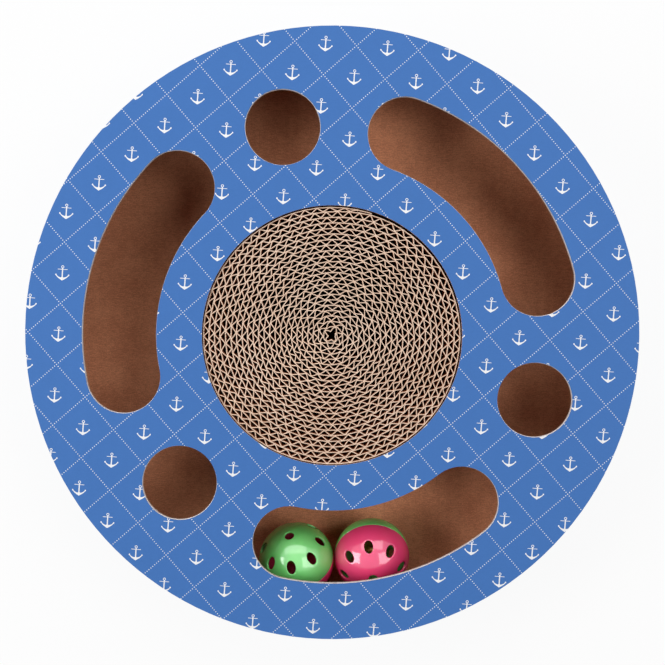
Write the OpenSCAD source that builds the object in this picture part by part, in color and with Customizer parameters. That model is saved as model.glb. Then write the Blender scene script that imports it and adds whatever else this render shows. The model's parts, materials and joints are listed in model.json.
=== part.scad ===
// Cat scratching drum: a flat corrugated-board drum with a wound board coil in the middle for
// scratching, and a closed track round it in which two rattling balls roll. Paws reach the balls
// through three round holes and three curved slots in the printed top.
// Millimetres, +Z up, origin in the middle of the underside.

/* [Drum] */
// Outside diameter of the top and the base
drum_d = 330; // [310:1:400]
// Height of the whole drum
drum_h = 56; // [52:1:140]
// How far the side wall stands back from the edge of the top
wall_setback = 0.5; // [0.4:0.1:2]

/* [Corrugated board] */
// Thickness of a paper face
face_t = 0.4; // [0.3:0.05:0.6]
// Height of the flutes between the two faces
flute_h = 2.2; // [1.5:0.1:3]
// Length of one flute between the faces
board_flute_pitch = 6.4; // [5:0.1:9]
// Thickness of the fluted paper, across the board
board_fluting_t = 0.4; // [0.3:0.05:0.6]
// Share of a flute's tip that lies flat along a face
flute_flat = 0.3; // [0.1:0.05:0.5]
// Open butt seam where a bent strip of board meets itself
seam_gap = 0.8; // [0.4:0.1:2]
// Direction of the seams, on the side away from the balls
seam_angle = 90; // [60:1:120]
// Width of the paper tape that closes a seam
tape_w = 40; // [20:1:60]
// Thickness of the paper tape
tape_t = 0.2; // [0.1:0.05:0.3]
// How far the printed wrap laps over itself
wrap_lap = 14; // [8:1:30]
// Leg of the glue bead in each corner of the track
glue_leg = 2.5; // [1.5:0.1:4]

/* [Openings in the top] */
// Board left between the edge of the top and the slots
slot_web = 30.5; // [24:0.5:40]
// Width of the slots, less than a ball
slot_w = 40; // [30:0.5:42]
// Direction of the middle of each slot
slot_angles = [42.8, 163.6, 283.1];
// Angle that each slot takes up, round ends included
slot_spans = [74.8, 75, 69.6];
// Diameter of the round paw holes, less than a ball
paw_hole_d = 40.5; // [30:0.5:42]
// Direction of each paw hole
paw_hole_angles = [103.3, 224, 342.5];

/* [Scratching coil] */
// Diameter of the opening for the coil
opening_d = 140; // [120:1:156]
// Gap between the coil and the edge of its opening
coil_gap = 0.8; // [0.4:0.1:2]
// How far the coil lies below the top
coil_recess = 1.2; // [0.4:0.1:4]
// Distance from one turn of the strip to the next
turn_pitch = 2.9; // [2.7:0.1:3.6]
// Length of one flute along the strip
flute_pitch = 10; // [8:0.5:14]
// Thickness of the liner paper
liner_t = 0.4; // [0.3:0.05:0.6]
// Radial thickness of the fluted paper
fluting_t = 0.4; // [0.3:0.05:0.5]
// Radius at which the winding starts
core_r = 4.6; // [4:0.1:8]
// Direction of the outer end of the strip
strip_end_angle = 72; // [0:1:359]
// Corners in one turn of the liner
turn_corners = 24; // [20:2:36]

/* [Track ring] */
// How far the ring round the coil stands back from the edge of the opening
ring_setback = 0.3; // [0.1:0.1:2]

/* [Balls] */
// Outside diameter of a ball
ball_d = 43; // [42.5:0.5:48]
// Wall of a ball
ball_wall = 1.2; // [1:0.1:2]
// Depth of the step where the two halves of a ball lap
ball_lap = 2; // [1:0.1:3]
// Length of the oval holes, towards the pole
ball_oval_l = 7.4; // [5:0.1:9]
// Width of the oval holes
ball_oval_w = 5; // [3:0.1:6.5]
// Diameter of the round hole at each pole
ball_pole_d = 5.4; // [3:0.1:7]
// Angle from the pole to the ring of oval holes
ball_oval_polar = 50.3; // [46:0.1:54]
// Oval holes in each half
ball_ovals = 8; // [5:1:8]
// How the green-up ball lies: tilt of its pole, direction of its pole, turn about its pole
ball_1_lie = [54.7, 101.6, 39];
// How the pink-up ball lies: tilt of its pole, direction of its pole, turn about its pole
ball_2_lie = [21.9, -89.4, 8.5];
// Direction of the middle of the pair of balls
ball_pair_angle = -89.4; // [-100:0.1:-80]

/* [Bells] */
// Diameter of the bell in each ball
bell_d = 12; // [9:0.5:16]
// Sheet thickness of the bell
bell_wall = 0.5; // [0.3:0.05:0.8]
// Width of the flange that joins the bell's halves
bell_flange = 0.6; // [0.4:0.1:1.2]
// Width of the slot in the bell
bell_slot_w = 1.2; // [0.8:0.1:2]
// Distance between the round ends of the bell's slot
bell_slot_l = 7.2; // [5:0.2:8]
// Diameter of the round end of the bell's slot
bell_slot_end_d = 2.2; // [2:0.1:2.8]
// Wire of the loop on the bell
bell_wire_d = 0.9; // [0.6:0.1:1.2]
// Inside diameter of the loop on the bell
bell_loop_d = 2.4; // [1.6:0.1:3]
// Diameter of the pellet in the bell
pellet_d = 3.4; // [3:0.1:4]

/* [Clearances] */
// Gap under a piece that lies loose
rest_gap = 0.3; // [0.2:0.05:0.5]
// Gap between each ball and the side wall, where it lies
ball_wall_gaps = [8.4, 10.4];
// Gap between the two balls
ball_pair_gap = 0.4; // [0.2:0.1:2]
// Gap left by glue between two papers or two lapped rims
glue_gap = 0.05; // [0.02:0.01:0.1]

/* [Hidden] */
$fn = 96;
// Overshoot of a cutter past the face it opens
cut = 1;
// Sides of an oval hole
oval_sides = 20;
// Sides along the curve of a slot, and round each of its ends
slot_steps = 36;
slot_end_steps = 18;
slot_end_step = 180 / slot_end_steps;

blue_print = [0.29, 0.48, 0.75];
kraft = [0.66, 0.46, 0.31];
pale_kraft = [0.84, 0.71, 0.58];
tape_tan = [0.74, 0.58, 0.40];
glue_amber = [0.86, 0.80, 0.62];
ball_green = [0.55, 0.80, 0.45];
ball_pink = [0.91, 0.30, 0.48];
bell_gold = [0.83, 0.68, 0.32];
pellet_steel = [0.62, 0.63, 0.65];

// Board and the heights of its plies
board_t = 2 * face_t + flute_h;
board_fluting_rise = flute_h - board_fluting_t;
floor_z = board_t;
ceiling_z = drum_h - board_t;
room_h = ceiling_z - floor_z;
tape_h = room_h - 2 * glue_leg;
drum_r = drum_d / 2;

// Side wall, from the wrap inwards
wrap_r = drum_r - wall_setback;
wrap_inner_r = wrap_r - face_t;
wrap_sunk = face_t / 2;
wall_core_r = wrap_inner_r - glue_gap - flute_h;
wall_inner_r = wall_core_r - glue_gap - face_t;

// Ring round the coil, from the coil outwards
opening_r = opening_d / 2;
ring_inner_r = opening_r + ring_setback;
ring_core_r = ring_inner_r + face_t + glue_gap;
ring_facing_r = ring_core_r + flute_h + glue_gap;
ring_outer_r = ring_facing_r + face_t;

// Slots and paw holes share one circle over the track
reach_r = drum_r - slot_web - slot_w / 2;
slot_end_angle = asin(slot_w / 2 / reach_r);

// Wound strip: the liner's middle line is a spiral, and the flutes lie inside it
coil_r = opening_r - coil_gap;
coil_base_z = floor_z + rest_gap;
coil_h = drum_h - coil_recess - coil_base_z;
strip_turn = (coil_r - liner_t / 2 - core_r) / turn_pitch * 360;
strip_start_angle = strip_end_angle + strip_turn;
strip_length = strip_turn * PI / 180 * (core_r + turn_pitch * strip_turn / 720);
corner_step = 360 / turn_corners;
fluting_rise = turn_pitch - liner_t - 2 * glue_gap - fluting_t;
fluting_inset = turn_pitch / 2;

// Balls lie side by side on the floor, under a slot
ball_r = ball_d / 2;
ball_inner_r = ball_r - ball_wall;
ball_lap_r = ball_r - ball_wall / 2;
ball_orbits = [for (gap = ball_wall_gaps) wall_inner_r - gap - ball_r];
ball_z = floor_z + rest_gap + ball_r;
// Cosine of the angle between the balls, from their distances to the middle and to each other
ball_apart = ball_d + ball_pair_gap;
ball_step_cos = (ball_orbits * ball_orbits - ball_apart * ball_apart)
    / (2 * ball_orbits[0] * ball_orbits[1]);
ball_half_step = acos(ball_step_cos) / 2;

// Each bell lies at the bottom of its ball, and its pellet at the bottom of the bell
bell_r = bell_d / 2;
bell_z = ball_z - ball_inner_r + rest_gap + bell_r;
bell_loop_r = (bell_loop_d + bell_wire_d) / 2;
bell_loop_z = bell_r - bell_wall + bell_wire_d / 2 + bell_loop_r;
pellet_z = bell_z - bell_r + bell_wall + rest_gap + pellet_d / 2;

// Point at a radius and an angle
function polar(r, a) = [r * cos(a), r * sin(a)];

// Radius of the liner's middle line after the strip has turned by an angle
function spiral_r(turned) = core_r + turn_pitch * turned / 360;

// Angle that the strip has turned at a length along it, from the spiral's arc length
function turned_at(length) =
    (sqrt(core_r * core_r + turn_pitch * length / PI) - core_r) / turn_pitch * 360;

// Share of the radius that is left between two corners of a turn
function corner_share(turned) =
    let (past = turned - corner_step * floor(turned / corner_step))
    cos(corner_step / 2) / cos(past - corner_step / 2);

// Corners of the liner's middle line as [radius, angle], with one at each end
liner_line = [
    for (i = [0 : floor(strip_turn / corner_step)])
        let (turned = i * corner_step)
        [spiral_r(turned), strip_start_angle - turned]
];

// Tips of the flutes as [radius, angle], in turn towards the liner and away from it
fluting_tips = floor(strip_length / (flute_pitch / 2));
fluting_line = [
    for (i = [0 : fluting_tips])
        let (turned = turned_at(i * flute_pitch / 2))
        if (turned <= len(liner_line) * corner_step - corner_step)
            [
                (spiral_r(turned) - fluting_inset) * corner_share(turned)
                    + (i % 2 == 0 ? fluting_rise / 2 : -fluting_rise / 2),
                strip_start_angle - turned
            ]
];

// Least gap of a strip to itself, over points that are at least a few steps apart along it
function least_gap(line, thickness, apart, window) =
    let (points = [for (p = line) polar(p[0], p[1])])
    let (last = len(points) - 1)
    min([
        for (i = [0 : last - apart])
            min([for (j = [i + apart : min(i + window, last)]) norm(points[i] - points[j])])
    ]) - thickness;

// Upright strip of paper along a line of [radius, angle]
module upright_strip(line, thickness, z, h) {
    outer = [for (p = line) polar(p[0] + thickness / 2, p[1])];
    inner = [for (i = [len(line) - 1 : -1 : 0]) polar(line[i][0] - thickness / 2, line[i][1])];
    translate([0, 0, z])
        linear_extrude(h)
            polygon(concat(outer, inner));
}

// Corners of a row of flutes, two at each tip, as [place in tips, side of the middle]
function flute_corners(tips) = [
    for (i = [0 : tips - 1])
        for (end = [-1, 1])
            [i + (1 + end * flute_flat) / 2, i % 2 == 0 ? 1 : -1]
];

// Fluted paper of a strip of board that is bent into a ring, open at its butt seam
module bent_fluting(r_inner) {
    r_middle = r_inner + flute_h / 2;
    seam_sweep = seam_gap / r_middle * 180 / PI;
    tips = 2 * round(2 * PI * r_middle / board_flute_pitch);
    tip_sweep = (360 - seam_sweep) / tips;
    line = [
        for (corner = flute_corners(tips))
            [
                r_middle + corner[1] * board_fluting_rise / 2,
                seam_angle + seam_sweep / 2 + corner[0] * tip_sweep
            ]
    ];
    upright_strip(line, board_fluting_t, floor_z, room_h);
}

// Fluted paper of a flat board wider than the drum, with its flutes along Y
module flat_fluting(z) {
    tips = 2 * ceil(drum_d / board_flute_pitch);
    line = [
        for (corner = flute_corners(tips))
            [(corner[0] - tips / 2) * board_flute_pitch / 2, corner[1] * board_fluting_rise / 2]
    ];
    upper = [for (p = line) p + [0, board_fluting_t / 2]];
    lower = [for (i = [len(line) - 1 : -1 : 0]) line[i] - [0, board_fluting_t / 2]];
    translate([0, 0, z + flute_h / 2])
        rotate([90, 0, 0])
            linear_extrude(drum_d + 2 * cut, center = true)
                polygon(concat(upper, lower));
}

// Points of an arc round a middle point, from one angle to another
function arc(middle, r, from, to, steps) =
    [for (i = [0 : steps]) middle + polar(r, from + (to - from) * i / steps)];

// Points of a slot's round end between its two sides, from a facing angle
function round_end(facing, angle) =
    let (from = facing + slot_end_step, to = facing + 180 - slot_end_step)
    arc(polar(reach_r, angle), slot_w / 2, from, to, slot_end_steps - 2);

// Outline of a curved slot with round ends
function slot_outline(angle, span) =
    let (swing = span / 2 - slot_end_angle)
    let (start = angle - swing, end = angle + swing)
    concat(
        arc([0, 0], reach_r + slot_w / 2, start, end, slot_steps),
        round_end(end, end),
        arc([0, 0], reach_r - slot_w / 2, end, start, slot_steps),
        round_end(start + 180, start)
    );

// Ply of the top, with every opening cut through it
module top_ply(z, t) {
    difference() {
        translate([0, 0, z])
            cylinder(r = drum_r, h = t);
        translate([0, 0, z - cut])
            cylinder(r = opening_r, h = t + 2 * cut);
        for (angle = paw_hole_angles)
            rotate([0, 0, angle])
                translate([reach_r, 0, z - cut])
                    cylinder(d = paw_hole_d, h = t + 2 * cut);
        for (i = [0 : len(slot_angles) - 1])
            translate([0, 0, z - cut])
                linear_extrude(t + 2 * cut)
                    polygon(slot_outline(slot_angles[i], slot_spans[i]));
    }
}

// Ply of the base
module base_ply(z, t) {
    translate([0, 0, z])
        cylinder(r = drum_r, h = t);
}

// Strip of board bent into a ring between the base and the top, open at its butt seam
module bent_ply(r_inner, t) {
    difference() {
        translate([0, 0, floor_z])
            cylinder(r = r_inner + t, h = room_h);
        translate([0, 0, floor_z - cut])
            cylinder(r = r_inner, h = room_h + 2 * cut);
        rotate([0, 0, seam_angle])
            translate([r_inner - cut, -seam_gap / 2, floor_z - cut])
                cube([t + 2 * cut, seam_gap, room_h + 2 * cut]);
    }
}

// Length of tape or wrap that lies on a bent strip, centred on the seam
module seam_patch(r_inner, t, w, z, h) {
    sweep = w / r_inner * 180 / PI;
    rotate([0, 0, seam_angle - sweep / 2])
        rotate_extrude(angle = sweep)
            translate([r_inner, z])
                square([t, h]);
}

// Bead of glue in a corner of the track, towards the track's middle (side) and away from its board (up)
module glue_bead(r, z, side, up) {
    rotate_extrude()
        translate([r, z])
            polygon([[0, 0], [side * glue_leg, 0], [0, up * glue_leg]]);
}

// Sets its children in ball 1 or ball 2, at the ball's middle
module at_ball(number) {
    side = number == 1 ? -1 : 1;
    translate(polar(ball_orbits[number - 1], ball_pair_angle + side * ball_half_step))
        children();
}

// Turns a half ball from pole up to the way that its ball lies
module as_lying(lie) {
    translate([0, 0, ball_z])
        rotate([0, lie[0], lie[1]])
            rotate([0, 0, lie[2]])
                children();
}

// Outline of an oval hole, long towards the pole
module oval() {
    polygon([
        for (i = [0 : oval_sides - 1])
            let (a = 360 * i / oval_sides)
            [ball_oval_l / 2 * cos(a), ball_oval_w / 2 * sin(a)]
    ]);
}

// Holes of one half ball: one at the pole and a ring of ovals
module ball_holes() {
    translate([0, 0, ball_r / 2])
        cylinder(d = ball_pole_d, h = ball_r);
    for (i = [0 : ball_ovals - 1])
        rotate([0, ball_oval_polar, 360 * i / ball_ovals])
            translate([0, 0, ball_r / 2])
                linear_extrude(ball_r)
                    oval();
}

// Section of a half ball's wall, from the equator to the pole
module half_section() {
    difference() {
        intersection() {
            circle(r = ball_r);
            square(ball_r);
        }
        circle(r = ball_inner_r);
    }
}

// Half ball whose rim laps over the outside of the other half's lip
module socket_half() {
    difference() {
        rotate_extrude()
            difference() {
                half_section();
                square([ball_lap_r, ball_lap]);
            }
        ball_holes();
    }
}

// Half ball with a lip inside its rim
module lip_half() {
    difference() {
        rotate_extrude()
            union() {
                half_section();
                difference() {
                    translate([0, glue_gap - ball_lap])
                        square([ball_lap_r - glue_gap, ball_lap]);
                    circle(r = ball_inner_r);
                }
            }
        ball_holes();
    }
}

// Stamped half of a bell with its flange, dome up
module bell_half() {
    rotate_extrude() {
        difference() {
            intersection() {
                circle(r = bell_r);
                square(bell_r);
            }
            circle(r = bell_r - bell_wall);
        }
        translate([bell_r - bell_wall / 2, 0])
            square([bell_flange + bell_wall / 2, bell_wall]);
    }
}

// Upper half of the bell with its wire loop
module bell_crown(number) {
    color(bell_gold)
        at_ball(number)
            translate([0, 0, bell_z]) {
                bell_half();
                translate([0, 0, bell_loop_z])
                    rotate([90, 0, 0])
                        rotate_extrude()
                            translate([bell_loop_r, 0])
                                circle(d = bell_wire_d);
            }
}

// Lower half of the bell, with the slot that lets its sound out
module bell_cup(number) {
    color(bell_gold)
        at_ball(number)
            translate([0, 0, bell_z])
                difference() {
                    mirror([0, 0, 1])
                        bell_half();
                    translate([-bell_slot_l / 2, -bell_slot_w / 2, -bell_r - cut])
                        cube([bell_slot_l, bell_slot_w, bell_r]);
                    for (side = [-1, 1])
                        translate([side * bell_slot_l / 2, 0, -bell_r - cut])
                            cylinder(d = bell_slot_end_d, h = bell_r);
                }
}

// Loose pellet that makes the bell ring
module bell_pellet(number) {
    color(pellet_steel)
        at_ball(number)
            translate([0, 0, pellet_z])
                sphere(d = pellet_d);
}

module top_print_sheet() {
    color(blue_print)
        top_ply(drum_h - face_t, face_t);
}

module top_fluting() {
    color(kraft)
        intersection() {
            flat_fluting(ceiling_z + face_t);
            top_ply(ceiling_z, board_t);
        }
}

module top_kraft_liner() {
    color(kraft)
        top_ply(ceiling_z, face_t);
}

module wall_print_wrap() {
    color(blue_print) {
        difference() {
            translate([0, 0, floor_z])
                cylinder(r = wrap_r, h = room_h);
            translate([0, 0, floor_z - cut])
                cylinder(r = wrap_inner_r, h = room_h + 2 * cut);
        }
        seam_patch(wrap_r - wrap_sunk, wrap_sunk + face_t, wrap_lap, floor_z, room_h);
    }
}

module wall_fluting() {
    color(kraft)
        bent_fluting(wall_core_r);
}

module wall_kraft_liner() {
    color(kraft)
        bent_ply(wall_inner_r, face_t);
}

module wall_seam_tape() {
    color(tape_tan)
        seam_patch(wall_inner_r - glue_gap - tape_t, tape_t, tape_w, floor_z + glue_leg, tape_h);
}

module ring_track_liner() {
    color(kraft)
        bent_ply(ring_facing_r, face_t);
}

module ring_fluting() {
    color(kraft)
        bent_fluting(ring_core_r);
}

module ring_coil_liner() {
    color(kraft)
        bent_ply(ring_inner_r, face_t);
}

module ring_seam_tape() {
    color(tape_tan)
        seam_patch(ring_outer_r + glue_gap, tape_t, tape_w, floor_z + glue_leg, tape_h);
}

module base_track_liner() {
    color(kraft)
        base_ply(floor_z - face_t, face_t);
}

module base_fluting() {
    color(kraft)
        intersection() {
            flat_fluting(face_t);
            base_ply(0, board_t);
        }
}

module base_outer_liner() {
    color(kraft)
        base_ply(0, face_t);
}

module wall_top_glue() {
    color(glue_amber)
        glue_bead(wall_inner_r, ceiling_z, -1, -1);
}

module wall_base_glue() {
    color(glue_amber)
        glue_bead(wall_inner_r, floor_z, -1, 1);
}

module ring_top_glue() {
    color(glue_amber)
        glue_bead(ring_outer_r, ceiling_z, 1, -1);
}

module ring_base_glue() {
    color(glue_amber)
        glue_bead(ring_outer_r, floor_z, 1, 1);
}

module coil_liner() {
    half_turn = turn_corners / 2;
    echo(coil_liner_least_gap = least_gap(liner_line, liner_t, half_turn, turn_corners + half_turn));
    color(pale_kraft)
        upright_strip(liner_line, liner_t, coil_base_z, coil_h);
}

module coil_fluting() {
    tips_apart = 3;
    tips_in_turn = ceil(2 * PI * coil_r / (flute_pitch / 2));
    echo(coil_fluting_least_gap = least_gap(fluting_line, fluting_t, tips_apart, tips_in_turn + tips_apart));
    color(pale_kraft)
        upright_strip(fluting_line, fluting_t, coil_base_z, coil_h);
}

module ball_1_green_half() {
    color(ball_green)
        at_ball(1)
            as_lying(ball_1_lie)
                socket_half();
}

module ball_1_pink_half() {
    color(ball_pink)
        at_ball(1)
            as_lying(ball_1_lie)
                mirror([0, 0, 1])
                    lip_half();
}

module ball_2_pink_half() {
    color(ball_pink)
        at_ball(2)
            as_lying(ball_2_lie)
                socket_half();
}

module ball_2_green_half() {
    color(ball_green)
        at_ball(2)
            as_lying(ball_2_lie)
                mirror([0, 0, 1])
                    lip_half();
}

top_print_sheet();
top_fluting();
top_kraft_liner();
wall_print_wrap();
wall_fluting();
wall_kraft_liner();
wall_seam_tape();
ring_track_liner();
ring_fluting();
ring_coil_liner();
ring_seam_tape();
base_track_liner();
base_fluting();
base_outer_liner();
wall_top_glue();
wall_base_glue();
ring_top_glue();
ring_base_glue();
coil_liner();
coil_fluting();
ball_1_green_half();
ball_1_pink_half();
bell_crown(1);  // ball_1_bell_crown
bell_cup(1);  // ball_1_bell_cup
bell_pellet(1);  // ball_1_pellet
ball_2_pink_half();
ball_2_green_half();
bell_crown(2);  // ball_2_bell_crown
bell_cup(2);  // ball_2_bell_cup
bell_pellet(2);  // ball_2_pellet
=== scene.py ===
# %% [markdown]
# # A cat scratching drum, dressed for a picture
#
# The drum is a flat box of corrugated board. Its top is printed blue with little white anchors, a
# wound coil of board fills the middle for scratching, and two rattling balls roll in a covered
# track round the coil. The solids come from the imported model, which is loaded first and stays
# fixed: everything below is fitted to it.

# %% Load the solids
import json
import math

import bmesh
import bpy
import numpy as np
from mathutils import Matrix, Vector


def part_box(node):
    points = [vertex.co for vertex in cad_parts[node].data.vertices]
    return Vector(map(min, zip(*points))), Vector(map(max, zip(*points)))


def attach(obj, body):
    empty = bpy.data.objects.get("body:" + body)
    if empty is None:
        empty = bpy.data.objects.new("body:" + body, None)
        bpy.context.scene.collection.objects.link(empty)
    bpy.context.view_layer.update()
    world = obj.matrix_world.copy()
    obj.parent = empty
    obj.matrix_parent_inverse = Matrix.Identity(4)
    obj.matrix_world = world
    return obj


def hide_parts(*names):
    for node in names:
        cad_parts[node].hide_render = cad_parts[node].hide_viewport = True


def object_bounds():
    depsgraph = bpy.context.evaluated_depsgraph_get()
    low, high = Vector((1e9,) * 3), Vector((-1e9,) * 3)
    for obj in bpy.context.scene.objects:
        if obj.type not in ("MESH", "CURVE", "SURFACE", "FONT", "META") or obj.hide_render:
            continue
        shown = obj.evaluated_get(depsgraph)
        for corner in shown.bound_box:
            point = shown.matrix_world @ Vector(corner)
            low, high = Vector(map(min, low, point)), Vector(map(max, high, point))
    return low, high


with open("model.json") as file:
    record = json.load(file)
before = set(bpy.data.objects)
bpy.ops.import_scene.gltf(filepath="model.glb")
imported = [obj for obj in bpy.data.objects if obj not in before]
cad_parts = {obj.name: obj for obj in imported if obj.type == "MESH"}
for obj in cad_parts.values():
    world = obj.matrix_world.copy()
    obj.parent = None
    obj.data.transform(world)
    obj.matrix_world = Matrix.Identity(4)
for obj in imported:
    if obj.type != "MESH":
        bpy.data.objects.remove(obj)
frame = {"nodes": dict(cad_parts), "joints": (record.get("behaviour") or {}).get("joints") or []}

cad_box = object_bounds()
nodes = frame["nodes"]
MM = 0.001
print("solids:", len(nodes), "box:", [round(v, 4) for corner in cad_box for v in corner])

# %% [markdown]
# ## The camera
#
# The photograph looks almost straight down. The print tells how almost: its diamonds are a little
# larger at the top of the picture than at the bottom, so the camera leans by about two degrees.
# Place, tilt and lens were found by fitting the rim, the print and the openings at once, and they
# are written here as real sizes.

# %% Set the camera
CAMERA_PLACE = Vector((2.0, 22.9, 593.4)) * MM
CAMERA_TILT = [math.radians(a) for a in (-2.241, 0.184, 0.038)]
CAMERA_LENS = 54.197

camera = bpy.data.objects.new("camera", bpy.data.cameras.new("camera"))
camera.data.lens = CAMERA_LENS
camera.data.sensor_fit = "HORIZONTAL"
camera.data.clip_start = 10 * MM
camera.location = CAMERA_PLACE
camera.rotation_euler = CAMERA_TILT
bpy.context.scene.collection.objects.link(camera)
bpy.context.scene.camera = camera
bpy.context.scene.view_settings.view_transform = "Standard"
print("camera is", round(camera.location.z - cad_box[1][2], 3), "m above the top")

# %% [markdown]
# ## Writing shader sums as Python
#
# Procedural finishes are sums over the surface, and a sum of twenty Math nodes is hard to read.
# Here a shader socket is wrapped in a small class, so that `abs(x) - half` builds the nodes and
# still reads as a formula.

# %% A socket that can stand in a sum
class Field:
    """A number that changes over the surface: a shader socket that can stand in a sum."""

    def __init__(self, tree, socket):
        self.tree = tree
        self.socket = socket

    def maths(self, operation, *others):
        """One Math node with this field as its first value."""
        node = self.tree.nodes.new("ShaderNodeMath")
        node.operation = operation
        fill(self.tree, node, dict(enumerate((self, *others))))
        return Field(self.tree, node.outputs[0])

    def __add__(self, other):
        return self.maths("ADD", other)

    def __sub__(self, other):
        return self.maths("SUBTRACT", other)

    def __mul__(self, other):
        return self.maths("MULTIPLY", other)

    def __truediv__(self, other):
        return self.maths("DIVIDE", other)

    def __abs__(self):
        return self.maths("ABSOLUTE")


def fill(tree, node, inputs):
    """Fills inputs of a node, by name or number, with values, fields or sockets."""
    for name, value in inputs.items():
        value = value.socket if isinstance(value, Field) else value
        if isinstance(value, bpy.types.NodeSocket):
            tree.links.new(value, node.inputs[name])
        else:
            node.inputs[name].default_value = value


def add_node(tree, kind, inputs=None, **settings):
    """Adds a node, sets its options and fills its inputs."""
    node = tree.nodes.new(kind)
    for name, value in settings.items():
        setattr(node, name, value)
    fill(tree, node, inputs or {})
    return node


print("fields can stand in sums")

# %% [markdown]
# A few more words keep the formulas short: a distance, the least of several, a smooth ramp, a blend
# of two colours, noise, and node groups. Colours are written as they look on the screen.

# %% Helpers for shader nodes
def length(a, b):
    """Distance of the point (a, b) from the origin."""
    return (a * a + b * b).maths("SQRT")


def least(*fields):
    """The smallest of several fields, which joins shapes given by their distance."""
    first = fields[0]
    for other in fields[1:]:
        first = first.maths("MINIMUM", other)
    return first


def ramp(field, start, end, low=0.0, high=1.0):
    """A smooth change from low to high while the field goes from start to end."""
    values = {0: field, 1: start, 2: end, 3: low, 4: high}
    node = add_node(field.tree, "ShaderNodeMapRange", values, interpolation_type="SMOOTHSTEP")
    return Field(field.tree, node.outputs[0])


def blend(tree, share, first, second):
    """Colour that goes from first to second by share."""
    values = {0: share, 6: first, 7: second}
    return add_node(tree, "ShaderNodeMix", values, data_type="RGBA").outputs[2]


def noise(tree, place, scale, detail, roughness=0.5):
    """Noise of about 0 to 1 with so many waves to the millimetre."""
    values = {"Vector": place, "Scale": scale, "Detail": detail, "Roughness": roughness}
    return Field(tree, add_node(tree, "ShaderNodeTexNoise", values).outputs["Fac"])


def split(tree, vector):
    """The three parts of a vector as fields."""
    node = add_node(tree, "ShaderNodeSeparateXYZ", {0: vector})
    return [Field(tree, socket) for socket in node.outputs]


def new_group(name, inputs, outputs):
    """Starts a node group and returns its tree, its input sockets by name, and its output node."""
    tree = bpy.data.node_groups.new(name, "ShaderNodeTree")
    for label, kind in inputs.items():
        tree.interface.new_socket(label, in_out="INPUT", socket_type=kind)
    for label in outputs:
        tree.interface.new_socket(label, in_out="OUTPUT", socket_type="NodeSocketFloat")
    return tree, tree.nodes.new("NodeGroupInput").outputs, tree.nodes.new("NodeGroupOutput")


def place_group(tree, group, inputs):
    """Places a node group in a material and returns its outputs as fields by name."""
    node = add_node(tree, "ShaderNodeGroup", inputs, node_tree=group)
    return {socket.name: Field(tree, socket) for socket in node.outputs}


def paint(red, green, blue):
    """A colour given as 0 to 255 on the screen, in the linear values that shaders use."""
    screen = np.array([red, green, blue]) / 255
    linear = np.where(screen <= 0.04045, screen / 12.92, ((screen + 0.055) / 1.055) ** 2.4)
    return (*linear.tolist(), 1.0)


print("a mid grey of 128 is written as", round(paint(128, 128, 128)[0], 4))

# %% [markdown]
# ## Floor and light
#
# The drum lies on plain white. The floor could be lit until it is white, but that would also bleach
# the drum. So it is white to the camera and to reflections through Light Path, and keeps a part of
# its own shading, so that the drum's shadow stays on it.

# %% Lay the floor
FLOOR_HALF = 4.0
FLOOR_DROP = 0.3 * MM
FLOOR_GLOW = 0.92
FLOOR_MATT = (0.9, 0.9, 0.9, 1.0)
WHITE = (1.0, 1.0, 1.0, 1.0)


def seen_directly(tree):
    """1 for rays from the camera, a mirror or through glass, 0 for light that only bounces."""
    path = tree.nodes.new("ShaderNodeLightPath").outputs
    kinds = ("Is Camera Ray", "Is Glossy Ray", "Is Transmission Ray")
    rays = [Field(tree, path[kind]) for kind in kinds]
    return (rays[0] + rays[1] + rays[2]).maths("MINIMUM", 1.0)


def floor_material():
    """White that glows to the eye but lights nothing, over a matt white that takes shadows."""
    material = bpy.data.materials.new("studio_floor")
    material.use_nodes = True
    tree = material.node_tree
    tree.nodes.clear()
    matt = add_node(tree, "ShaderNodeBsdfDiffuse", {"Color": FLOOR_MATT}).outputs[0]
    glow = add_node(tree, "ShaderNodeEmission", {"Color": WHITE}).outputs[0]
    share = seen_directly(tree) * FLOOR_GLOW
    mixed = add_node(tree, "ShaderNodeMixShader", {0: share, 1: matt, 2: glow})
    add_node(tree, "ShaderNodeOutputMaterial", {"Surface": mixed.outputs[0]})
    return material


corners = np.array([(-1, -1, 0), (1, -1, 0), (1, 1, 0), (-1, 1, 0)]) * FLOOR_HALF
corners[:, 2] = cad_box[0][2] - FLOOR_DROP
floor_mesh = bpy.data.meshes.new("floor")
floor_mesh.from_pydata(corners.tolist(), [], [(0, 1, 2, 3)])
floor_mesh.materials.append(floor_material())
floor = bpy.data.objects.new("floor", floor_mesh)
bpy.context.scene.collection.objects.link(floor)
print("floor at z =", round(corners[0, 2], 5))

# %% [markdown]
# The light is that of a studio: three softboxes and a faint glow from all round. The balls carry
# the boxes' mirror images, one wide box beyond the top of the picture and a tall one at either
# side. Their directions also follow from the floor of the track, which is bright where a box can
# be seen through an opening. Angles are in degrees, sizes in metres and powers in watts.

# %% Light the sky and the softboxes
SKY_LEVEL = 0.03
SOFTBOX_DISTANCE = 1.6
SOFTBOXES = {
    "softbox_back": {"bearing": 92, "rise": 41, "size": (2.1, 1.1), "power": 16.0},
    "softbox_left": {"bearing": 180, "rise": 37, "size": (0.8, 0.9), "power": 14.3},
    "softbox_right": {"bearing": 4, "rise": 53, "size": (0.9, 1.0), "power": 9.0},
}


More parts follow.
